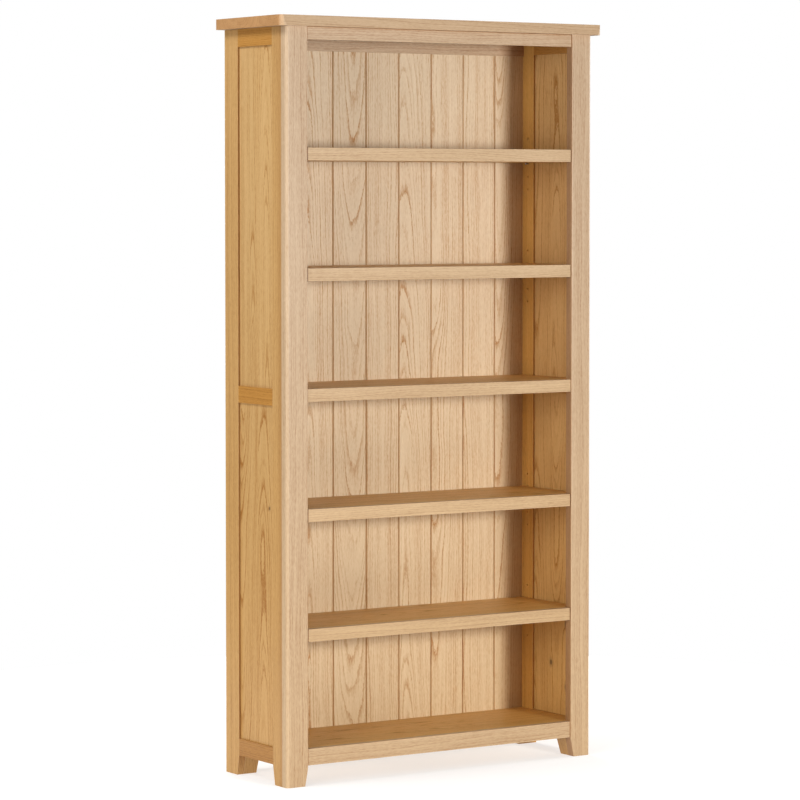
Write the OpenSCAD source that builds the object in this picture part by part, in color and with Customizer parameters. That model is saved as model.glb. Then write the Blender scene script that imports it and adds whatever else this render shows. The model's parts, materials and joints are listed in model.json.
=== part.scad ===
// Tall oak bookcase: frame-and-panel sides, front face posts, a matchboard back,
// a fixed bottom and middle shelf, and four shelves that sit on pins in hole rows.
// The origin is on the floor under the middle of the top board. The front faces -Y.

/* [Carcass] */
// Width over the side frames
carcass_w = 878; // [700:2:1100]
// Depth from the face of the front posts to the rear edge of the sides
carcass_d = 280; // [260:2:400]
// Height to the underside of the top board
carcass_h = 1775; // [1760:1:1800]
// Thickness of the side frames
side_t = 18; // [18:0.5:24]
// Height of the feet below the bottom rails
foot_h = 48; // [36:1:52]
// How far each tapered foot face slopes inward over its height
foot_taper = 9; // [4:0.5:12]

/* [Top board] */
// Thickness of the top board
top_t = 25; // [20:1:32]
// Overhang of the top board at each side
top_over_side = 23; // [12:1:30]
// Overhang of the top board at the front
top_over_front = 16; // [10:1:24]
// Plan radius of the two front corners
top_corner_r = 20; // [12:1:24]
// How far the front edge leans back over its height
top_edge_lean = 4; // [0:0.5:6]

/* [Front frame] */
// Width of a front post
post_w = 59; // [52:1:66]
// Thickness of a front post
post_t = 22; // [20:0.5:26]
// Radius of the outer vertical corner of a front post
post_outer_r = 9; // [4:0.5:12]
// Radius of the inner vertical corner of a front post
post_inner_r = 3; // [1:0.5:5]
// Height of the front top rail
frieze_h = 30; // [24:1:40]
// How far the rails and shelf edges sit behind the face of the posts
setback = 2.5; // [1:0.5:5]

/* [Side frames] */
// Width of the front stile behind the face post
front_stile_w = 41.5; // [36:0.5:50]
// Width of the rear stile
rear_stile_w = 61; // [52:0.5:66]
// Height of the top side rail
side_top_rail_h = 42; // [34:1:50]
// Height of the middle side rail
side_mid_rail_h = 40; // [34:1:50]
// Height of the bottom side rail
side_bottom_rail_h = 40; // [34:1:50]
// Thickness of the side panels
panel_t = 8; // [7:0.5:10]

/* [Shelves] */
// Thickness of a shelf
shelf_t = 30; // [24:1:32]
// Height of the top face of the bottom shelf
bottom_shelf_z = 87; // [84:1:92]
// Height from the top of one shelf to the top of the next
shelf_pitch = 281.5; // [276:0.5:284]
// Thickness of the bottom shelf board
bottom_shelf_t = 18; // [16:1:22]
// Gap between an adjustable shelf and the side frames
shelf_side_gap = 1.5; // [1:0.25:2]
// Diameter of a shelf pin
pin_d = 5; // [5:0.5:6]
// Spacing of the holes in a row
hole_pitch = 32; // [25:1:32]

/* [Back] */
// Thickness of the back boards
back_t = 10; // [8:0.5:11]
// How far the back boards sit inside the rear edge of the sides
back_inset = 4; // [3:0.5:5]
// Depth of the rebate in the rear stiles
rebate = 10; // [8:0.5:11]
// Width of the bevel on each edge of a back board
board_bevel = 2.2; // [1:0.1:3]

/* [Hidden] */
$fn = 48;
back_boards = 9;

oak = "#d9b07a";
oak_side = "#c99b5c";
oak_back = "#dcbc92";
steel = "silver";

hw = carcass_w / 2;                       // outer face of a side
hi = hw - side_t;                         // inner face of a side
y0 = (top_over_front - carcass_d) / 2;    // face of the front posts in the part's own frame
fit = 0.1;                                // glue clearance round tenons and tongues
ten = 10;                                 // length of a stub tenon
ten_t = panel_t;                          // thickness of a stub tenon
xp = (side_t - panel_t) / 2;              // panel's recess on each face
fs_y = post_t + front_stile_w;            // rear edge of the front stile
rs_y = carcass_d - rear_stile_w;          // front edge of the rear stile
back_y = carcass_d - back_inset - back_t; // front face of the back boards
mid_top = bottom_shelf_z + 3 * shelf_pitch;
mid_rail_z = mid_top - side_mid_rail_h;
bot_rail_top = foot_h + side_bottom_rail_h;
top_rail_z = carcass_h - side_top_rail_h;
rail_back_t = 18;                         // rear top rail
rail_back_h = 44;
rail_back_y = back_y - 5;
pin_out = 8;                              // free length of a pin
pin_in = 9.5;                             // length of a pin in its hole
pin_gap = 0.2;                            // pin under shelf
front_pin_y = post_t + 20;
rear_pin_y = rs_y + 24;
shelf_back = back_y - 2;
shelf_split = post_t + 1.5;               // rear face of a shelf's front strip
dowel_d = 8;
slots = [1, 2, 4, 5];                     // places of the adjustable shelves above the bottom one
hole_rows = [-2, -1, 0, 1, 2];

function shelf_top(n) = bottom_shelf_z + slots[n - 1] * shelf_pitch;
function pin_z(n) = shelf_top(n) - shelf_t - pin_gap - pin_d / 2;

// Puts a part into the row frame, with y counted from the face of the front posts.
module at_front() translate([0, y0, 0]) children();
// Puts a part that is drawn for the left side on either side; x counts inward from the outer face.
module on_left() translate([-hw, y0, 0]) children();
module on_right() translate([hw, y0, 0]) mirror([1, 0, 0]) children();

// Drawn profile in Y and Z, extruded along X.
module along_x(x0, x1) translate([x0, 0, 0]) rotate([90, 0, 90]) linear_extrude(height = x1 - x0) children();
// Drawn profile in X and Z, extruded along Y.
module along_y(ya, yb) translate([0, yb, 0]) rotate([90, 0, 0]) linear_extrude(height = yb - ya) children();

// ---- top board ----
module top_plan() {
    x = hw + top_over_side;
    y = -top_over_front;
    r = top_corner_r;
    union() {
        translate([-x, y + r]) square([2 * x, carcass_d - y - r]);
        translate([-x + r, y]) square([2 * (x - r), carcass_d - y]);
        for (s = [-1, 1]) translate([s * (x - r), y + r]) circle(r = r);
    }
}

module top_board() {
    color(oak) at_front() difference() {
        intersection() {
            translate([0, 0, carcass_h]) linear_extrude(height = top_t) top_plan();
            along_x(-hw - top_over_side - 1, hw + top_over_side + 1)
                polygon([[-top_over_front, carcass_h], [carcass_d, carcass_h],
                         [carcass_d, carcass_h + top_t], [-top_over_front + top_edge_lean, carcass_h + top_t]]);
        }
        top_dowel_places(dowel_d + 2 * fit, carcass_h - 1, 16);
    }
}

module top_dowel_places(d, z, h) {
    for (s = [-1, 1], y = [90, 190]) translate([s * (hw - side_t / 2), y, z]) cylinder(d = d, h = h);
    for (x = [-250, 0, 250]) {
        translate([x, setback + 9.5, z]) cylinder(d = d, h = h);
        translate([x, rail_back_y + rail_back_t / 2, z]) cylinder(d = d, h = h);
    }
}

// ---- front posts ----
module post_plan() {
    a = post_outer_r;
    b = post_inner_r;
    union() {
        translate([a, 0]) square([post_w - a - b, post_t]);
        translate([0, a]) square([post_w, post_t - a]);
        translate([post_w - b - 0.5, b]) square([b + 0.5, post_t - b]);
        translate([a, a]) circle(r = a);
        translate([post_w - b, b]) circle(r = b);
    }
}

module face_post() {
    difference() {
        intersection() {
            linear_extrude(height = carcass_h) post_plan();
            along_y(-1, post_t + 1)
                polygon([[-1, 0], [post_w - foot_taper, 0], [post_w, foot_h], [post_w, carcass_h], [-1, carcass_h]]);
        }
        // mortises for the front rails
        translate([post_w - ten - fit, 7 - fit, carcass_h - frieze_h - fit])
            cube([ten + 1, 8 + 2 * fit, frieze_h - 6 + 2 * fit]);
        translate([post_w - ten - fit, 7 - fit, foot_h + 6 - fit])
            cube([ten + 1, 8 + 2 * fit, bottom_shelf_z - foot_h - 12 + 2 * fit]);
    }
}

module front_rail(z, h, zt, ht, yt) {
    x = hw - post_w;
    union() {
        translate([-x, setback, z]) cube([2 * x, post_t - setback, h]);
        translate([-x - ten, 7, zt]) cube([2 * (x + ten), 8, ht]);
    }
}

module front_top_rail() {
    color(oak) at_front() difference() {
        front_rail(carcass_h - frieze_h, frieze_h, carcass_h - frieze_h, frieze_h - 6);
        top_dowel_places(dowel_d + 2 * fit, carcass_h - 15, 20);
    }
}

module front_bottom_rail() {
    color(oak) at_front()
        front_rail(foot_h, bottom_shelf_z - foot_h, foot_h + 6, bottom_shelf_z - foot_h - 12);
}

// ---- side frames; x counts inward from the outer face, y from the face of the front posts ----
module pin_holes(y) {
    for (n = [1:4], k = hole_rows)
        translate([side_t - 10, y, pin_z(n) + k * hole_pitch]) rotate([0, 90, 0]) cylinder(d = pin_d + 0.1, h = 11);
}

module front_stile() {
    difference() {
        along_x(0, side_t)
            polygon([[post_t, 0], [fs_y - foot_taper, 0], [fs_y, foot_h], [fs_y, carcass_h], [post_t, carcass_h]]);
        translate([xp - fit, fs_y - ten - fit, foot_h + 6]) cube([ten_t + 2 * fit, ten + 1, carcass_h - foot_h - 12]);
        pin_holes(front_pin_y);
    }
}

module rear_stile() {
    difference() {
        along_x(0, side_t)
            polygon([[rs_y + foot_taper, 0], [carcass_d, 0], [carcass_d, carcass_h], [rs_y, carcass_h], [rs_y, foot_h]]);
        translate([xp - fit, rs_y - 1, foot_h + 6]) cube([ten_t + 2 * fit, ten + 1 + fit, carcass_h - foot_h - 12]);
        translate([side_t - rebate, back_y, foot_h]) cube([rebate + 1, back_t + back_inset + 1, carcass_h - foot_h + 1]);
        pin_holes(rear_pin_y);
    }
}

// A side rail with stub tenons; the grooves take the panels above and below.
module side_rail(z, h, below, above, tz, th) {
    difference() {
        union() {
            translate([0, fs_y, z]) cube([side_t, rs_y - fs_y, h]);
            translate([xp, fs_y - ten, tz]) cube([ten_t, rs_y - fs_y + 2 * ten, th]);
        }
        if (above) translate([xp - fit, fs_y - ten - 1, z + h - ten]) cube([ten_t + 2 * fit, rs_y - fs_y + 2 * ten + 2, ten + 1]);
        if (below) translate([xp - fit, fs_y - ten - 1, z - 1]) cube([ten_t + 2 * fit, rs_y - fs_y + 2 * ten + 2, ten + 1]);
        translate([hw, 0, 0]) fixed_dowel_places(2 * fit, -1);
    }
}

module side_top_rail() {
    difference() {
        side_rail(top_rail_z, side_top_rail_h, true, false, top_rail_z + ten, side_top_rail_h - ten - 6);
        translate([hw, 0, 0]) top_dowel_places(dowel_d + 2 * fit, carcass_h - 15, 20);
    }
}
module side_middle_rail() side_rail(mid_rail_z, side_mid_rail_h, true, true, mid_rail_z + ten, side_mid_rail_h - 2 * ten);
module side_bottom_rail() side_rail(foot_h, side_bottom_rail_h, false, true, foot_h + 6, side_bottom_rail_h - ten - 6);

module side_panel(z0, z1) {
    translate([xp, fs_y - ten + 1, z0 - ten + 1]) cube([panel_t, rs_y - fs_y + 2 * ten - 2, z1 - z0 + 2 * ten - 2]);
}
module upper_panel() side_panel(mid_top, top_rail_z);
module lower_panel() side_panel(bot_rail_top, mid_rail_z);

// ---- foot blocks: they fill the inner corner of each leg ----
module front_foot_block() {
    intersection() {
        along_y(post_t, fs_y)
            polygon([[side_t, 0], [post_w - foot_taper, 0], [post_w, foot_h], [side_t, foot_h]]);
        along_x(side_t - 1, post_w + 1)
            polygon([[post_t, 0], [fs_y - foot_taper, 0], [fs_y, foot_h], [post_t, foot_h]]);
    }
}
module rear_foot_block() {
    w = post_w - 1;
    intersection() {
        along_y(rs_y, carcass_d)
            polygon([[side_t, 0], [w - foot_taper / 2, 0], [w, foot_h], [side_t, foot_h]]);
        along_x(side_t - 1, post_w + 1)
            polygon([[rs_y + foot_taper, 0], [carcass_d, 0], [carcass_d, foot_h], [rs_y, foot_h]]);
    }
}

// ---- rear rails ----
module rear_top_rail() {
    color(oak) at_front() difference() {
        translate([-hi, rail_back_y, carcass_h - rail_back_h]) cube([2 * hi, rail_back_t, rail_back_h]);
        translate([-hi - 1, back_y - fit, carcass_h - rail_back_h - 1]) cube([2 * hi + 2, back_t + 2 * fit, 15]);
        top_dowel_places(dowel_d + 2 * fit, carcass_h - 15, 20);
    }
}

module rear_bottom_rail() {
    color(oak) at_front() difference() {
        translate([-hi, back_y - 18, foot_h]) cube([2 * hi, 18, bottom_shelf_z - bottom_shelf_t - foot_h]);
        back_screw_bores(low_screw_z);
    }
}

// ---- fixed shelves ----
fixed_dowels = [[6, bottom_shelf_z - bottom_shelf_t + 5], [dowel_d, mid_top - shelf_t / 2]];

module fixed_dowel_places(wider, side, shorter = 0) {
    for (y = [100, 180], p = fixed_dowels)
        translate([side * (hi - 20 + shorter), y, p[1]]) rotate([0, side * 90, 0])
            cylinder(d = p[0] + wider, h = 32 - 2 * shorter);
}

module bottom_shelf() {
    color(oak) at_front() difference() {
        translate([-hi, post_t, bottom_shelf_z - bottom_shelf_t]) cube([2 * hi, back_y - post_t, bottom_shelf_t]);
        for (s = [-1, 1]) fixed_dowel_places(2 * fit, s);
    }
}

module middle_shelf() {
    color(oak) at_front() difference() {
        translate([-hi, post_t, mid_top - shelf_t]) cube([2 * hi, back_y - post_t, shelf_t]);
        for (s = [-1, 1]) fixed_dowel_places(2 * fit, s);
        back_screw_bores(mid_top - shelf_t / 2);
    }
}

module middle_shelf_edge() {
    x = hw - post_w;
    color(oak) at_front() translate([-x, setback, mid_top - shelf_t]) cube([2 * x, post_t - setback, shelf_t]);
}

module fixed_shelf_dowels() {
    color(oak) at_front() for (s = [-1, 1]) fixed_dowel_places(0, s, 0.5);
}

module top_dowels() { color(oak) at_front() top_dowel_places(dowel_d, carcass_h - 14.5, 29); }

// ---- adjustable shelves: a wide board and a front strip that passes between the posts ----
module shelf_board(n) {
    x = hi - shelf_side_gap;
    color(oak) at_front() translate([-x, shelf_split, shelf_top(n) - shelf_t]) cube([2 * x, shelf_back - shelf_split, shelf_t]);
}

module shelf_edge(n) {
    x = hw - post_w - 1;
    color(oak) at_front() translate([-x, setback, shelf_top(n) - shelf_t]) cube([2 * x, shelf_split - setback, shelf_t]);
}

// One pin points along +X from inside its hole.
module shelf_pin() {
    rotate([0, 90, 0]) union() {
        translate([0, 0, -pin_in]) cylinder(d = pin_d, h = pin_in + pin_out - 0.6);
        translate([0, 0, pin_out - 0.6]) cylinder(d1 = pin_d, d2 = pin_d - 1.2, h = 0.6);
    }
}

module shelf_pins(n) {
    color(steel) at_front() for (y = [front_pin_y, rear_pin_y]) {
        translate([-hi, y, pin_z(n)]) shelf_pin();
        translate([hi, y, pin_z(n)]) mirror([1, 0, 0]) shelf_pin();
    }
}

// ---- back: tongued and grooved boards with bevelled edges ----
board_w = 2 * (hi + rebate) / back_boards;
tongue = 5;
tongue_t = 3.2;

module board_plan(n) {
    b = board_bevel;
    g = 0.2;
    w = board_w - g;
    m = back_t / 2 + 1;
    difference() {
        union() {
            polygon([[b, 0], [w - b, 0], [w, b], [w, back_t], [0, back_t], [0, b]]);
            if (n < back_boards) translate([w - 1, m - tongue_t / 2]) square([tongue + 1, tongue_t]);
        }
        if (n > 1) translate([-1, m - tongue_t / 2 - 0.15]) square([tongue + 1.5, tongue_t + 0.3]);
    }
}

board_z0 = foot_h + 0.5;
board_z1 = carcass_h - rail_back_h + 13;
low_screw_z = (foot_h + bottom_shelf_z - bottom_shelf_t) / 2;

module back_screw_bores(z) {
    for (n = [1:back_boards])
        translate([-hi - rebate + (n - 0.5) * board_w, back_y + back_t + 0.1, z]) rotate([90, 0, 0]) cylinder(d = 3.6, h = 26.5);
}

module back_board(n) {
    color(oak_back) at_front() difference() {
        translate([-hi - rebate + (n - 1) * board_w + 0.1, back_y, board_z0])
            linear_extrude(height = board_z1 - board_z0) board_plan(n);
        for (z = [low_screw_z, mid_top - shelf_t / 2])
            translate([-hi - rebate + (n - 0.5) * board_w, back_y + back_t, z]) rotate([90, 0, 0]) {
                translate([0, 0, -1]) cylinder(d = 3.6, h = back_t + 2);
                translate([0, 0, -0.01]) cylinder(d1 = 7.2, d2 = 3.6, h = 1.8);
            }
    }
}

module back_screw() {
    rotate([90, 0, 0]) difference() {
        union() {
            cylinder(d1 = 7, d2 = 3.4, h = 1.8);
            translate([0, 0, 1.7]) cylinder(d = 3.4, h = 22);
            translate([0, 0, 23.6]) cylinder(d1 = 3.4, d2 = 1, h = 2);
        }
        translate([-1.6, -0.35, -1]) cube([3.2, 0.7, 1.9]);
        translate([-0.35, -1.6, -1]) cube([0.7, 3.2, 1.9]);
    }
}

module back_screws() {
    color(steel) at_front() for (n = [1:back_boards], z = [low_screw_z, mid_top - shelf_t / 2])
        translate([-hi - rebate + (n - 0.5) * board_w, back_y + back_t, z]) back_screw();
}

top_board();
color(oak) on_left() face_post();  // left_face_post
color(oak) on_right() face_post();  // right_face_post
color(oak_side) on_left() front_stile();  // left_front_stile
color(oak_side) on_right() front_stile();  // right_front_stile
color(oak_side) on_left() rear_stile();  // left_rear_stile
color(oak_side) on_right() rear_stile();  // right_rear_stile
color(oak_side) on_left() side_top_rail();  // left_top_side_rail
color(oak_side) on_right() side_top_rail();  // right_top_side_rail
color(oak_side) on_left() side_middle_rail();  // left_middle_side_rail
color(oak_side) on_right() side_middle_rail();  // right_middle_side_rail
color(oak_side) on_left() side_bottom_rail();  // left_bottom_side_rail
color(oak_side) on_right() side_bottom_rail();  // right_bottom_side_rail
color(oak_side) on_left() upper_panel();  // left_upper_panel
color(oak_side) on_right() upper_panel();  // right_upper_panel
color(oak_side) on_left() lower_panel();  // left_lower_panel
color(oak_side) on_right() lower_panel();  // right_lower_panel
color(oak_side) on_left() front_foot_block();  // front_left_foot_block
color(oak_side) on_right() front_foot_block();  // front_right_foot_block
color(oak_side) on_left() rear_foot_block();  // rear_left_foot_block
color(oak_side) on_right() rear_foot_block();  // rear_right_foot_block
front_top_rail();
rear_top_rail();
front_bottom_rail();
rear_bottom_rail();
bottom_shelf();
middle_shelf();
middle_shelf_edge();
shelf_board(1);  // shelf_1
shelf_edge(1);  // shelf_1_edge
shelf_board(2);  // shelf_2
shelf_edge(2);  // shelf_2_edge
shelf_board(3);  // shelf_3
shelf_edge(3);  // shelf_3_edge
shelf_board(4);  // shelf_4
shelf_edge(4);  // shelf_4_edge
back_board(1);  // back_board_1
back_board(2);  // back_board_2
back_board(3);  // back_board_3
back_board(4);  // back_board_4
back_board(5);  // back_board_5
back_board(6);  // back_board_6
back_board(7);  // back_board_7
back_board(8);  // back_board_8
back_board(9);  // back_board_9
shelf_pins(1);  // shelf_1_pins
shelf_pins(2);  // shelf_2_pins
shelf_pins(3);  // shelf_3_pins
shelf_pins(4);  // shelf_4_pins
top_dowels();
fixed_shelf_dowels();
back_screws();
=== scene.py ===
import json
import math
import random
import zlib

import bmesh
import bpy
from mathutils import Matrix, Vector


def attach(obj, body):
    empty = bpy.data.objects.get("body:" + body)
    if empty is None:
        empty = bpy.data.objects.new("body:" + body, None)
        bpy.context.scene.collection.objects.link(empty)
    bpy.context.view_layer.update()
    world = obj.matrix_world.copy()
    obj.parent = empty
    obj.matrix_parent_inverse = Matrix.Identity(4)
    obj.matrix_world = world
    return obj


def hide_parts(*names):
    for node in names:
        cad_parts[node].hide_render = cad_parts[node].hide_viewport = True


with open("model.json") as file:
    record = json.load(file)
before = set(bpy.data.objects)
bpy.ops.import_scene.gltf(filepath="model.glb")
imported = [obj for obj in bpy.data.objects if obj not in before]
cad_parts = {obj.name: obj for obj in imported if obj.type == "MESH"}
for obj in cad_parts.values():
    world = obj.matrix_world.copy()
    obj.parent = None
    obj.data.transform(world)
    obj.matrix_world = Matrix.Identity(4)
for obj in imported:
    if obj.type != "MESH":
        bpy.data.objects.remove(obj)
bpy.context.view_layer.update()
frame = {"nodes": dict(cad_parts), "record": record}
nodes = frame["nodes"]
record_bodies = {n: b for b, members in frame["record"]["behaviour"]["bodies"].items() for n in members}

X, Y, Z = 0, 1, 2


# ---------------------------------------------------------------- node helpers

class Graph:
    """Short ways to build a material's node tree."""

    def __init__(self, name):
        self.mat = bpy.data.materials.new(name)
        self.mat.use_nodes = True
        self.tree = self.mat.node_tree
        self.tree.nodes.clear()

    def put(self, socket, value):
        if hasattr(value, "is_output"):
            self.tree.links.new(value, socket)
        elif isinstance(value, (tuple, list)) and len(value) == 3 and socket.type == "RGBA":
            socket.default_value = (*value, 1.0)
        else:
            socket.default_value = value

    def node(self, kind, inputs=None, **props):
        n = self.tree.nodes.new(kind)
        for k, v in props.items():
            setattr(n, k, v)
        for k, v in (inputs or {}).items():
            self.put(n.inputs[k], v)
        return n

    def math(self, op, a, b=None, c=None, clamp=False):
        n = self.node("ShaderNodeMath", operation=op, use_clamp=clamp)
        for i, v in enumerate((a, b, c)):
            if v is not None:
                self.put(n.inputs[i], v)
        return n.outputs[0]

    def vec(self, op, a, b=None, scale=None):
        n = self.node("ShaderNodeVectorMath", operation=op)
        self.put(n.inputs[0], a)
        if b is not None:
            self.put(n.inputs[1], b)
        if scale is not None:
            self.put(n.inputs["Scale"], scale)
        return n.outputs["Value" if op in ("LENGTH", "DOT_PRODUCT", "DISTANCE") else "Vector"]

    def attr(self, name):
        n = self.node("ShaderNodeAttribute", attribute_name=name)
        n.attribute_type = "GEOMETRY"
        return n

    def noise(self, vector, detail=2.0, rough=0.5, scale=1.0, color=False):
        n = self.node("ShaderNodeTexNoise", {"Vector": vector, "Scale": scale, "Detail": detail, "Roughness": rough})
        return n.outputs[1 if color else 0]

    def noise1(self, w, detail=1.0, scale=1.0):
        n = self.node("ShaderNodeTexNoise", noise_dimensions="1D")
        self.put(n.inputs["W"], w)
        self.put(n.inputs["Scale"], scale)
        self.put(n.inputs["Detail"], detail)
        return n.outputs[0]

    def ramp(self, fac, stops, mode="LINEAR"):
        n = self.node("ShaderNodeValToRGB")
        n.color_ramp.interpolation = mode
        e = n.color_ramp.elements
        while len(e) > 1:
            e.remove(e[0])
        e[0].position, e[0].color = stops[0][0], self._rgba(stops[0][1])
        for p, c in stops[1:]:
            s = e.new(p)
            s.color = self._rgba(c)
        self.put(n.inputs[0], fac)
        return n.outputs[0]

    @staticmethod
    def _rgba(c):
        return (c, c, c, 1.0) if isinstance(c, (int, float)) else (*c, 1.0)

    def mix(self, fac, a, b, mode="MIX"):
        n = self.node("ShaderNodeMix", data_type="RGBA", blend_type=mode)
        self.put(n.inputs[0], fac)
        self.put(n.inputs[6], a)
        self.put(n.inputs[7], b)
        return n.outputs[2]

    def finish(self, color, roughness, height=None, bump=0.2, distance=0.0004, metallic=0.0, specular=0.5):
        out = self.node("ShaderNodeOutputMaterial")
        bsdf = self.node("ShaderNodeBsdfPrincipled")
        self.put(bsdf.inputs["Base Color"], color)
        self.put(bsdf.inputs["Roughness"], roughness)
        bsdf.inputs["Metallic"].default_value = metallic
        bsdf.inputs["Specular IOR Level"].default_value = specular
        if height is not None:
            b = self.node("ShaderNodeBump")
            b.inputs["Strength"].default_value = bump
            b.inputs["Distance"].default_value = distance
            self.put(b.inputs["Height"], height)
            self.tree.links.new(b.outputs[0], bsdf.inputs["Normal"])
        self.tree.links.new(bsdf.outputs[0], out.inputs[0])
        return self.mat


# ---------------------------------------------------------------- oak

def oak(name, dark, mid, light, spacing=0.0034, ring=0.30, streak=0.20, pore=0.20, cloud=0.12, fleck=0.22, knots=(),
        low_tone=(0.945, 0.885, 0.74), joint_and_shade_color=(0.46, 0.25, 0.075)):
    """Ring-porous oak as a solid: the corner attribute "wood" gives metres along the grain (x) and from the pith (y, z)."""
    g = Graph(name)
    wood = g.attr("wood").outputs["Vector"]
    tint = g.attr("tint").outputs["Fac"]
    # slow wander of the grain, a finer waver, and ragged ring edges
    slow = g.noise(g.vec("MULTIPLY", wood, (1.9, 6.0, 6.0)), detail=2.0, color=True)
    fine = g.noise(g.vec("MULTIPLY", wood, (9.0, 50.0, 50.0)), detail=2.0, color=True)
    rag = g.noise(g.vec("MULTIPLY", wood, (120.0, 420.0, 420.0)), detail=1.0, color=True)
    p = g.vec("ADD", wood, g.vec("MULTIPLY", g.vec("SUBTRACT", slow, (0.5, 0.5, 0.5)), (0.0, 0.026, 0.026)))
    p = g.vec("ADD", p, g.vec("MULTIPLY", g.vec("SUBTRACT", fine, (0.5, 0.5, 0.5)), (0.0, 0.0024, 0.0024)))
    p = g.vec("ADD", p, g.vec("MULTIPLY", g.vec("SUBTRACT", rag, (0.5, 0.5, 0.5)), (0.0, 0.0012, 0.0012)))
    mask = None
    if knots:
        place = g.attr("place").outputs["Vector"]
        for centre, size, push in knots:
            d = g.vec("LENGTH", g.vec("DIVIDE", g.vec("SUBTRACT", place, centre), size))
            halo = g.math("POWER", 2.718, g.math("MULTIPLY", g.math("MULTIPLY", d, d), -0.22))
            p = g.vec("ADD", p, g.vec("SCALE", (0.0, push, push), scale=halo))
            core = g.ramp(d, [(0.0, 1.0), (0.62, 0.9), (1.0, 0.0)], "EASE")
            ringk = g.ramp(g.math("MULTIPLY", d, 0.4), [(0.0, 0.0), (0.36, 0.55), (0.8, 0.0)], "EASE")
            both = g.math("MAXIMUM", core, g.math("MULTIPLY", ringk, 0.55))
            mask = both if mask is None else g.math("MAXIMUM", mask, both)
    radius = g.vec("LENGTH", g.vec("MULTIPLY", p, (0.0, 1.0, 1.0)))
    turns = g.math("ADD", g.math("DIVIDE", radius, spacing),
                   g.math("MULTIPLY", g.noise1(radius, detail=1.0, scale=85.0), 2.6))
    within = g.math("FRACT", turns)
    early = g.ramp(within, [(0.0, 0.45), (0.06, 1.0), (0.22, 0.55), (0.45, 0.12), (0.90, 0.0), (1.0, 0.45)], "LINEAR")
    white = g.node("ShaderNodeTexWhiteNoise", noise_dimensions="1D")
    g.put(white.inputs["W"], g.math("FLOOR", turns))
    year = g.math("MULTIPLY_ADD", white.outputs["Value"], 1.05, 0.20)
    early_year = g.math("MULTIPLY", early, year)
    # broad light and dark streaks that follow the grain, and soft clouds
    streaks = g.noise(g.vec("MULTIPLY", p, (1.1, 52.0, 52.0)), detail=3.0, rough=0.6)
    wide = g.noise1(radius, detail=2.0, scale=42.0)
    clouds = g.noise(g.vec("MULTIPLY", wood, (2.2, 9.0, 9.0)), detail=2.0)
    # open pores: short dashes in the early wood, and short flecks everywhere
    dash = g.noise(g.vec("MULTIPLY", p, (45.0, 900.0, 900.0)), detail=1.0)
    pores = g.math("MULTIPLY", g.ramp(dash, [(0.0, 1.0), (0.40, 0.75), (0.52, 0.0)], "LINEAR"),
                   g.math("MULTIPLY_ADD", early, 0.85, 0.15))
    flecks = g.noise(g.vec("MULTIPLY", p, (95.0, 430.0, 430.0)), detail=1.0)
    hair = g.noise(g.vec("MULTIPLY", p, (9.0, 300.0, 300.0)), detail=2.0)
    tone = g.math("MULTIPLY_ADD", g.math("SUBTRACT", streaks, 0.5), streak * 2.0, 0.62)
    tone = g.math("MULTIPLY_ADD", g.math("SUBTRACT", wide, 0.5), streak * 1.2, tone)
    tone = g.math("MULTIPLY_ADD", g.math("SUBTRACT", clouds, 0.5), cloud * 2.0, tone)
    tone = g.math("MULTIPLY_ADD", g.math("SUBTRACT", hair, 0.5), fleck * 1.6, tone)
    tone = g.math("MULTIPLY_ADD", g.math("SUBTRACT", flecks, 0.5), fleck * 2.0, tone)
    tone = g.math("MULTIPLY_ADD", early_year, -ring, tone)
    tone = g.math("MULTIPLY_ADD", pores, -pore, tone, clamp=True)
    color = g.ramp(tone, [(0.0, dark), (0.55, mid), (1.0, light)], "LINEAR")
    # the wood is made darker and yellower towards the floor
    low = g.node("ShaderNodeSeparateXYZ")
    g.put(low.inputs[0], g.attr("place").outputs["Vector"])
    down = g.math("MULTIPLY_ADD", low.outputs[2], -0.77, 1.0, clamp=True)
    color = g.mix(down, color, g.vec("MULTIPLY", color, low_tone))
    # each board's own tone, set darker for the bottom side rails and foot blocks, and darker end grain
    color = g.vec("SCALE", color, scale=g.math("ADD", tint, 1.0))
    end = g.attr("endgrain").outputs["Fac"]
    color = g.mix(g.math("MULTIPLY", end, 0.60), color, g.vec("MULTIPLY", color, (0.92, 0.60, 0.22)))
    # arrises a little paler from wear, plus painted highlights; dark joint lines, and painted shade in recesses,
    # corners and under the top
    wear_and_highlight = g.attr("arris").outputs["Fac"]
    color = g.mix(g.math("MULTIPLY", wear_and_highlight, 0.22), color, (0.80, 0.60, 0.38))
    joint_lines_and_painted_shade = g.attr("joint_lines_and_painted_shade").outputs["Fac"]
    color = g.mix(joint_lines_and_painted_shade, color, g.vec("MULTIPLY", color, joint_and_shade_color))
    if mask is not None:
        color = g.mix(g.math("MULTIPLY", mask, 0.86), color, (0.085, 0.038, 0.014))
    rough = g.math("MULTIPLY_ADD", early_year, 0.10, 0.42)
    rough = g.math("MULTIPLY_ADD", pores, 0.16, rough)
    height = g.math("MULTIPLY_ADD", early_year, -0.35, g.math("MULTIPLY", pores, -0.8))
    return g.finish(color, rough, height, bump=0.20, distance=0.00035, specular=0.42)


def steel(name, base, rough, grain):
    g = Graph(name)
    place = g.node("ShaderNodeTexCoord").outputs["Object"]
    turned = g.noise(g.vec("MULTIPLY", place, (grain, 240.0, 240.0)), detail=2.0)
    smudge = g.noise(g.vec("SCALE", place, scale=60.0), detail=3.0)
    color = g.mix(smudge, tuple(0.86 * c for c in base), tuple(min(1.0, 1.08 * c) for c in base))
    r = g.math("MULTIPLY_ADD", turned, 0.16, g.math("MULTIPLY_ADD", smudge, 0.10, rough))
    return g.finish(color, r, turned, bump=0.05, distance=0.0001, metallic=1.0)


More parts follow.
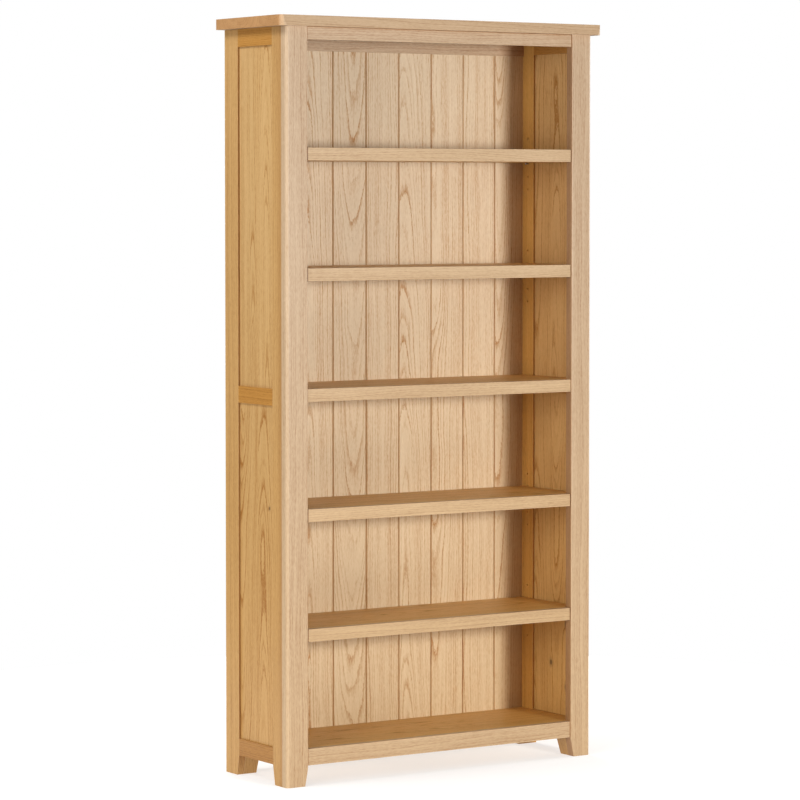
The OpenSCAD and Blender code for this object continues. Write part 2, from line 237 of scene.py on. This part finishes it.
def beech(name):
    g = Graph(name)
    place = g.node("ShaderNodeTexCoord").outputs["Object"]
    fleck = g.noise(g.vec("SCALE", place, scale=900.0), detail=2.0)
    slow = g.noise(g.vec("SCALE", place, scale=70.0), detail=2.0)
    tone = g.math("MULTIPLY_ADD", fleck, 0.5, g.math("MULTIPLY", slow, 0.5), clamp=True)
    color = g.ramp(tone, [(0.25, (0.50, 0.31, 0.16)), (0.75, (0.76, 0.56, 0.36))])
    return g.finish(color, 0.6, fleck, bump=0.1, distance=0.0002)


# colours are scene-linear
# FRONT is paler and pinker, SIDE deeper orange: painted light, a lit copy of one oak for the front faces and a shaded
# copy for the sides
FRONT = dict(dark=(0.275, 0.130, 0.045), mid=(0.462, 0.322, 0.203), light=(0.580, 0.428, 0.286))
SIDE = dict(dark=(0.280, 0.120, 0.026), mid=(0.530, 0.310, 0.113), light=(0.646, 0.408, 0.174))
RAIL = dict(dark=(0.240, 0.095, 0.012), mid=(0.450, 0.212, 0.042), light=(0.560, 0.292, 0.076))
PANEL = dict(dark=(0.320, 0.125, 0.014), mid=(0.552, 0.340, 0.137), light=(0.668, 0.436, 0.204))
SHELF = dict(dark=(0.320, 0.150, 0.034), mid=(0.625, 0.370, 0.126), light=(0.745, 0.482, 0.200))
EDGE = dict(dark=(0.280, 0.148, 0.056), mid=(0.485, 0.330, 0.190), light=(0.620, 0.448, 0.272))
BACK = dict(dark=(0.405, 0.180, 0.040), mid=(0.690, 0.545, 0.372), light=(0.800, 0.665, 0.490))
TOP = dict(dark=(0.300, 0.160, 0.066), mid=(0.495, 0.335, 0.200), light=(0.630, 0.460, 0.295))

KNOTS_RIGHT = [
    ((0.426, -0.0484, 0.3169), (0.02, 0.0055, 0.011), 0.004),
    ((0.426, -0.0490, 0.1592), (0.02, 0.0055, 0.010), 0.004),
    ((0.426, 0.0149, 0.2145), (0.02, 0.0060, 0.009), -0.004),
]
KNOTS_LEFT = [((-0.434, -0.0471, 0.649), (0.02, 0.0034, 0.0050), 0.003)]

MATS = {
    "oak_top": oak("oak_top_figured", **TOP),
    "oak_front": oak("oak_front_straight", ring=0.28, fleck=0.27, joint_and_shade_color=(0.64, 0.36, 0.12), **FRONT),
    "oak_side": oak("oak_side_straight", ring=0.30, **SIDE),
    "oak_panel": oak("oak_panel_figured", ring=0.44, **PANEL),
    "oak_shelf": oak("oak_shelf_figured", ring=0.30, low_tone=(1.0, 0.95, 0.74), **SHELF),
    "oak_back": oak("oak_back_figured", ring=0.44, spacing=0.0036, streak=0.19, pore=0.12, cloud=0.07, fleck=0.24,
                    joint_and_shade_color=(0.62, 0.41, 0.19), **BACK),
}
RAIL_OAK = oak("oak_side_rail", ring=0.30, **RAIL)
# a deeper orange copy of the side oak for the right rear stile: painted shade with warm bounce light, behind the right
# post
STILE_DEEP = oak("oak_side_deep", ring=0.30, dark=(0.330, 0.130, 0.020), mid=(0.625, 0.335, 0.086), light=(0.750, 0.440, 0.135))
EDGE_OAK = oak("oak_shelf_edge", ring=0.26, **EDGE)
# a paler copy of the panel oak for the right panels, whose inner faces show: painted light
PANEL_PALE = dict(dark=(0.340, 0.140, 0.020), mid=(0.590, 0.362, 0.144), light=(0.710, 0.468, 0.220))
PANEL_RIGHT = oak("oak_panel_figured_pale", ring=0.42, low_tone=(1.0, 0.95, 0.74), **PANEL_PALE)
PANEL_KNOTS_RIGHT = oak("oak_panel_figured_right", ring=0.42, knots=KNOTS_RIGHT,
                        low_tone=(1.0, 0.95, 0.74), **PANEL_PALE)
PANEL_KNOTS_LEFT = oak("oak_panel_figured_left", ring=0.44, knots=KNOTS_LEFT, low_tone=(0.92, 0.82, 0.62), **PANEL)


# ---------------------------------------------------------------- pieces

def pith(rng, figure, width, length):
    """Where the tree's centre lies from the middle of a board, and how the board leans to it along the grain."""
    side = rng.choice((-1.0, 1.0))
    if figure == "flat":
        lean = rng.choice((-1, 1)) * rng.uniform(0.016, 0.040)
        return (rng.uniform(-0.42, 0.42) * width, side * (abs(lean) * length / 2 + rng.uniform(0.018, 0.05)),
                rng.uniform(-0.008, 0.008), lean)
    if figure == "rift":
        return (side * rng.uniform(0.055, 0.10), rng.choice((-1, 1)) * rng.uniform(0.05, 0.09),
                rng.uniform(-0.006, 0.006), rng.uniform(-0.006, 0.006))
    return (side * rng.uniform(0.10, 0.16), rng.uniform(-0.02, 0.02), rng.uniform(-0.005, 0.005), rng.uniform(-0.003, 0.003))


def build(node, grain, wide, slot, bevel=0.8, cuts=(), figure="rift", material=None, shade=0.05, base=0.0, joint_lines_and_painted_shade=None, pale=None,
          one=False, levels=()):
    """A wood piece in place of a CAD node: the same solid with eased arrises, in one board or in staves glued edge to edge."""
    rng = random.Random(zlib.crc32(node.encode()))
    thick = ({X, Y, Z} - {grain, wide}).pop()
    bm = bmesh.new()
    bm.from_mesh(nodes[node].data)
    bmesh.ops.remove_doubles(bm, verts=bm.verts, dist=2e-6)
    bmesh.ops.dissolve_limit(bm, angle_limit=math.radians(0.5), verts=bm.verts, edges=bm.edges)
    axis = Vector([1.0 if i == wide else 0.0 for i in range(3)])
    for c in cuts:
        bmesh.ops.bisect_plane(bm, geom=bm.verts[:] + bm.edges[:] + bm.faces[:], dist=1e-7,
                               plane_co=axis * c, plane_no=axis)
    along = Vector([1.0 if i == grain else 0.0 for i in range(3)])
    for c in levels:
        bmesh.ops.bisect_plane(bm, geom=bm.verts[:] + bm.edges[:] + bm.faces[:], dist=1e-7,
                               plane_co=along * c, plane_no=along)
    sharp = [e for e in bm.edges if e.is_manifold and e.is_convex and e.calc_length() > 0.0024
             and e.calc_face_angle(0.0) > math.radians(40)]
    if bevel and sharp:
        before = set(bm.faces)
        made = bmesh.ops.bevel(bm, geom=sharp, offset=bevel / 1000.0, offset_type="OFFSET", segments=2, profile=0.5,
                               affect="EDGES", clamp_overlap=True, miter_outer="ARC", miter_inner="SHARP")
        arris = set(made["faces"])
    else:
        arris = set()
    bmesh.ops.dissolve_degenerate(bm, dist=1e-7, edges=bm.edges)
    arris = {f for f in arris if f.is_valid}
    bm.normal_update()

    lo = [min(v.co[i] for v in bm.verts) for i in range(3)]
    hi = [max(v.co[i] for v in bm.verts) for i in range(3)]
    edges = [lo[wide], *([] if one else sorted(cuts)), hi[wide]]
    staves = []
    for a, b in zip(edges, edges[1:]):
        v0, w0, sv, sw = pith(rng, figure, b - a, hi[grain] - lo[grain])
        staves.append(dict(mid=(a + b) / 2, v0=v0, w0=w0, sv=sv, sw=sw, along=rng.uniform(0, 40.0),
                           flip=rng.choice((-1.0, 1.0)), tint=base + rng.uniform(-shade, shade)))
    wood = bm.loops.layers.float_vector.new("wood")
    place = bm.loops.layers.float_vector.new("place")
    tint = bm.loops.layers.float.new("tint")
    endg = bm.loops.layers.float.new("endgrain")
    arr = bm.loops.layers.float.new("arris")
    joint_and_shade_layer = bm.loops.layers.float.new("joint_lines_and_painted_shade")
    mid_t = (lo[thick] + hi[thick]) / 2
    mid_g = (lo[grain] + hi[grain]) / 2
    normals = []
    near = math.cos(math.radians(35))
    for f in bm.faces:
        f.smooth = True
        c = f.calc_center_median()
        k = 0
        while k < len(staves) - 1 and c[wide] > edges[k + 1]:
            k += 1
        s = staves[k]
        edge = 1.0 if f in arris else 0.0
        for l in f.loops:
            q = l.vert.co
            u = q[grain] - mid_g
            l[wood] = (u * s["flip"] + s["along"], q[wide] - s["mid"] - s["v0"] + s["sv"] * u,
                       q[thick] - mid_t - s["w0"] + s["sw"] * u)
            l[place] = q
            l[tint] = s["tint"]
            # arris: bevel faces paler from wear, plus painted highlights where a pale function is given
            l[arr] = max(edge, pale(f, q)) if pale else edge
            l[joint_and_shade_layer] = joint_lines_and_painted_shade(f, q) if joint_lines_and_painted_shade else 0.0
            n = Vector((0.0, 0.0, 0.0))
            for o in l.vert.link_faces:
                if o.normal.dot(f.normal) > near:
                    n += o.normal * (o.calc_area() + 1e-12)
            n = n.normalized() if n.length > 0 else f.normal.copy()
            l[endg] = max(0.0, min(1.0, (abs(n[grain]) - 0.40) / 0.50))
            normals.append(n)
    mesh = bpy.data.meshes.new(node + "_oak")
    bm.to_mesh(mesh)
    bm.free()
    mesh.normals_split_custom_set([tuple(n) for n in normals])
    mesh.materials.append(material or MATS[slot])
    obj = bpy.data.objects.new(node + "_oak", mesh)
    bpy.context.scene.collection.objects.link(obj)
    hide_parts(node)
    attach(obj, record_bodies[node])
    return obj


def in_recess(f, q):
    """Painted shade on the rear stile's narrow face that stands out of the panel, in the recess."""
    return 0.55 if f.normal.y < -0.9 and q.y < 0.0885 else 0.0


def outer_corner(f, q):
    """Painted highlight: the post's rounded outer corner and its side made pale."""
    return 0.8 if f.normal.x * q.x > 0.25 * abs(q.x) and abs(f.normal.z) < 0.5 else 0.0


def by_post(f, q):
    """Painted shade: the front stile darkens towards the post."""
    return 0.30 * max(0.0, min(1.0, (-0.085 - q.y) / 0.020)) if abs(f.normal.x) > 0.9 else 0.0


def at_ends(f, q):
    """Painted shade in the dark joint lines where a strip meets the posts, and along its top arris under the top board.
    """
    if q.z > 1.74 and 0.25 < f.normal.z < 0.97:
        return 0.9
    return 1.0 if abs(f.normal.x) > 0.2 and abs(q.x) > 0.370 else 0.0


def under_top(f, q):
    """The shadowed lower arris of the top board."""
    return 0.8 if -0.97 < f.normal.z < -0.25 else 0.0


def rounded(f, q):
    """Painted highlight: the rounded front corners of the top board made pale."""
    return 0.7 if 0.25 < abs(f.normal.x) < 0.93 and f.normal.y < -0.25 else 0.0


def post_marks(f, q):
    """Painted shade in the joint under the top board, and on the post's shaded inner side."""
    if f.normal.x * q.x < -0.7 * abs(q.x):
        return 0.5
    return 0.9 if 0.25 < f.normal.z < 0.97 else 0.0


def rail_ends(f, q):
    """Painted shade: the rear rail's face darkens into the corners."""
    return 0.8 * max(0.0, min(1.0, (abs(q.x) - 0.34) / 0.07)) if abs(f.normal.y) > 0.9 else 0.0


def in_groove(f, q):
    """The bevels that meet as a V between two back boards are darkened, and painted shade darkens the corner beside
    each side.
    """
    if 0.2 < abs(f.normal.x) < 0.98 and abs(f.normal.z) < 0.1:
        return 0.70
    return 0.90 * max(0.0, min(1.0, (abs(q.x) - 0.34) / 0.08)) if f.normal.y < -0.9 else 0.0


def even(a, b, n):
    return [a + (b - a) * i / n for i in range(1, n)]


build("top_board", X, Y, "oak_top", bevel=1.0, cuts=even(-0.148, 0.148, 3), figure="flat", joint_lines_and_painted_shade=under_top, pale=rounded)
for side in ("left", "right"):
    build(side + "_face_post", Z, X, "oak_front", bevel=0.8, figure="rift", shade=0.03, joint_lines_and_painted_shade=post_marks, pale=outer_corner)
    build(side + "_front_stile", Z, Y, "oak_side", bevel=0.5, figure="rift", cuts=[-0.085], joint_lines_and_painted_shade=by_post, one=True)
    build(side + "_rear_stile", Z, Y, "oak_side", bevel=0.6, figure="rift", joint_lines_and_painted_shade=in_recess,
          material=STILE_DEEP if side == "right" else None)
    for r in ("top", "middle", "bottom"):
        build("%s_%s_side_rail" % (side, r), Y, Z, "oak_side", bevel=0.5, figure="rift", material=RAIL_OAK,
              shade=0.02, base=-0.15 if r == "bottom" else 0.0)
build("left_upper_panel", Z, Y, "oak_panel", bevel=0.0, cuts=[0.012], figure="flat", shade=0.035)
build("right_upper_panel", Z, Y, "oak_panel", bevel=0.0, cuts=[0.012], figure="flat", material=PANEL_RIGHT, shade=0.035)
build("left_lower_panel", Z, Y, "oak_panel", bevel=0.0, cuts=[0.004], figure="flat", material=PANEL_KNOTS_LEFT, shade=0.035)
build("right_lower_panel", Z, Y, "oak_panel", bevel=0.0, cuts=[0.0155], figure="flat", material=PANEL_KNOTS_RIGHT, shade=0.035)
for n in ("front_left", "front_right", "rear_left", "rear_right"):
    build(n + "_foot_block", Z, Y, "oak_side", bevel=0.8, figure="rift", base=-0.12)
build("front_top_rail", X, Z, "oak_front", bevel=1.2, figure="rift", joint_lines_and_painted_shade=at_ends)
build("rear_top_rail", X, Z, "oak_front", bevel=0.6, figure="rift", joint_lines_and_painted_shade=rail_ends, levels=(-0.34, 0.34))
build("front_bottom_rail", X, Z, "oak_front", bevel=1.2, figure="rift", joint_lines_and_painted_shade=at_ends)
build("rear_bottom_rail", X, Z, "oak_front", bevel=0.6, figure="rift")
build("bottom_shelf", X, Y, "oak_shelf", bevel=0.5, cuts=even(-0.11, 0.13, 3), figure="flat")
build("middle_shelf", X, Y, "oak_shelf", bevel=0.5, cuts=even(-0.11, 0.13, 3), figure="flat")
build("middle_shelf_edge", X, Z, "oak_shelf", bevel=1.1, figure="rift", material=EDGE_OAK, joint_lines_and_painted_shade=at_ends)
for k in range(1, 5):
    build("shelf_%d" % k, X, Y, "oak_shelf", bevel=0.6, cuts=even(-0.1085, 0.132, 3), figure="flat")
    build("shelf_%d_edge" % k, X, Z, "oak_shelf", bevel=1.1, figure="rift", shade=0.03, material=EDGE_OAK, joint_lines_and_painted_shade=at_ends)
for k in range(1, 10):
    build("back_board_%d" % k, Z, X, "oak_back", bevel=0.0, figure="rift" if k in (1, 5, 8) else "flat", shade=0.025,
          joint_lines_and_painted_shade=in_groove)

METAL_PIN = steel("pin_turned_steel", (0.62, 0.61, 0.58), 0.26, 900.0)
METAL_SCREW = steel("screw_plated_steel", (0.60, 0.57, 0.50), 0.34, 400.0)
BEECH = beech("dowel_beech")
for n, m in [("shelf_%d_pins" % k, METAL_PIN) for k in range(1, 5)] + [
        ("back_screws", METAL_SCREW), ("top_dowels", BEECH), ("fixed_shelf_dowels", BEECH)]:
    for s in nodes[n].material_slots:
        s.material = m


# ---------------------------------------------------------------- floor, light, camera

def disc(name, radius, z, n=96):
    mesh = bpy.data.meshes.new(name)
    rings = [0.0, 0.25, 0.5, 0.75, 1.0]
    verts = [(0.0, 0.0, z)]
    faces = []
    for k, r in enumerate(rings[1:]):
        for i in range(n):
            a = 2 * math.pi * i / n
            verts.append((radius * r * math.cos(a), radius * r * math.sin(a), z))
    for i in range(n):
        faces.append((0, 1 + i, 1 + (i + 1) % n))
    for k in range(1, 4):
        for i in range(n):
            a, b = 1 + (k - 1) * n + i, 1 + (k - 1) * n + (i + 1) % n
            faces.append((a, a + n, b + n, b))
    mesh.from_pydata(verts, [], faces)
    o = bpy.data.objects.new(name, mesh)
    bpy.context.scene.collection.objects.link(o)
    return o


# a pale round floor that brightens into the white surround at its rim
floor = disc("floor", 2.0, -0.0004)
g = Graph("floor_pale")
here = g.node("ShaderNodeTexCoord").outputs["Object"]
out_from = g.vec("LENGTH", g.vec("MULTIPLY", here, (1.0, 1.0, 0.0)))
spot = g.noise(here, detail=2.0, scale=3.0)
floor_mat = g.finish(g.mix(spot, (0.44, 0.44, 0.438), (0.46, 0.46, 0.458)), 0.9, specular=0.0)
shader = next(n for n in floor_mat.node_tree.nodes if n.type == "BSDF_PRINCIPLED")
shader.inputs["Emission Strength"].default_value = 1.0
glow = g.ramp(g.math("DIVIDE", out_from, 2.0), [(0.0, 0.56), (0.35, 0.64), (0.70, 0.84), (1.0, 1.0)], "LINEAR")
floor_mat.node_tree.links.new(glow, shader.inputs["Emission Color"])
floor.data.materials.append(floor_mat)


def softbox(name, at, aim, size, power, color=(1.0, 1.0, 1.0)):
    data = bpy.data.lights.new(name, "AREA")
    data.shape = "DISK"
    data.size = size
    data.energy = power
    data.color = color
    o = bpy.data.objects.new(name, data)
    bpy.context.scene.collection.objects.link(o)
    o.location = at
    o.rotation_euler = (Vector(aim) - Vector(at)).to_track_quat("-Z", "Y").to_euler()
    return o


softbox("key_light", (0.60, -5.3, 1.36), (0.0, 0.0, 1.10), 0.85, 208.0, (1.0, 0.99, 0.975))
softbox("front_left_fill", (-4.6, -2.3, 1.6), (0.0, 0.0, 1.0), 2.2, 112.0, (1.0, 0.99, 0.975))
softbox("left_fill", (-3.4, 0.1, 4.1), (-0.44, 0.0, 0.9), 1.9, 110.0, (1.0, 0.98, 0.95))
softbox("right_fill", (4.2, -0.2, 1.5), (0.0, 0.0, 0.9), 2.2, 90.0, (1.0, 0.98, 0.95))
softbox("rear_fill", (0.9, 5.0, 1.8), (0.0, 0.0, 0.9), 2.6, 160.0, (1.0, 0.98, 0.95))
softbox("top_fill", (0.0, 0.6, 5.0), (0.0, 0.0, 1.0), 2.6, 50.0, (1.0, 0.985, 0.96))

world = bpy.data.worlds.new("studio")
bpy.context.scene.world = world
world.use_nodes = True
wt = world.node_tree
wt.nodes.clear()
w_out = wt.nodes.new("ShaderNodeOutputWorld")
w_mix = wt.nodes.new("ShaderNodeMixShader")
w_path = wt.nodes.new("ShaderNodeLightPath")
w_soft = wt.nodes.new("ShaderNodeBackground")
w_seen = wt.nodes.new("ShaderNodeBackground")
w_soft.inputs["Color"].default_value = (1.0, 0.99, 0.975, 1.0)
w_soft.inputs["Strength"].default_value = 0.16
w_seen.inputs["Color"].default_value = (1.0, 1.0, 1.0, 1.0)
w_seen.inputs["Strength"].default_value = 1.0
wt.links.new(w_path.outputs["Is Camera Ray"], w_mix.inputs[0])
wt.links.new(w_soft.outputs[0], w_mix.inputs[1])
wt.links.new(w_seen.outputs[0], w_mix.inputs[2])
wt.links.new(w_mix.outputs[0], w_out.inputs[0])

yaw, pitch = math.radians(33.3359), math.radians(2.6526)
ahead = Vector((math.sin(yaw) * math.cos(pitch), math.cos(yaw) * math.cos(pitch), -math.sin(pitch)))
right = Vector((math.cos(yaw), -math.sin(yaw), 0.0))
up = right.cross(ahead)
cam_data = bpy.data.cameras.new("camera")
cam_data.sensor_width = 36.0
cam_data.lens = 3398.88 / 800.0 * 36.0
cam_data.shift_y = -0.06
cam_data.clip_start = 0.1
cam_data.clip_end = 200.0
camera = bpy.data.objects.new("camera", cam_data)
bpy.context.scene.collection.objects.link(camera)
camera.matrix_world = Matrix((
    (right.x, up.x, -ahead.x, -4.54711),
    (right.y, up.y, -ahead.y, -6.85691),
    (right.z, up.z, -ahead.z, 1.3849),
    (0.0, 0.0, 0.0, 1.0),
))
bpy.context.scene.camera = camera

bpy.context.scene.view_settings.view_transform = "Standard"
bpy.context.scene.view_settings.look = "None"
bpy.context.scene.cycles.use_denoising = True
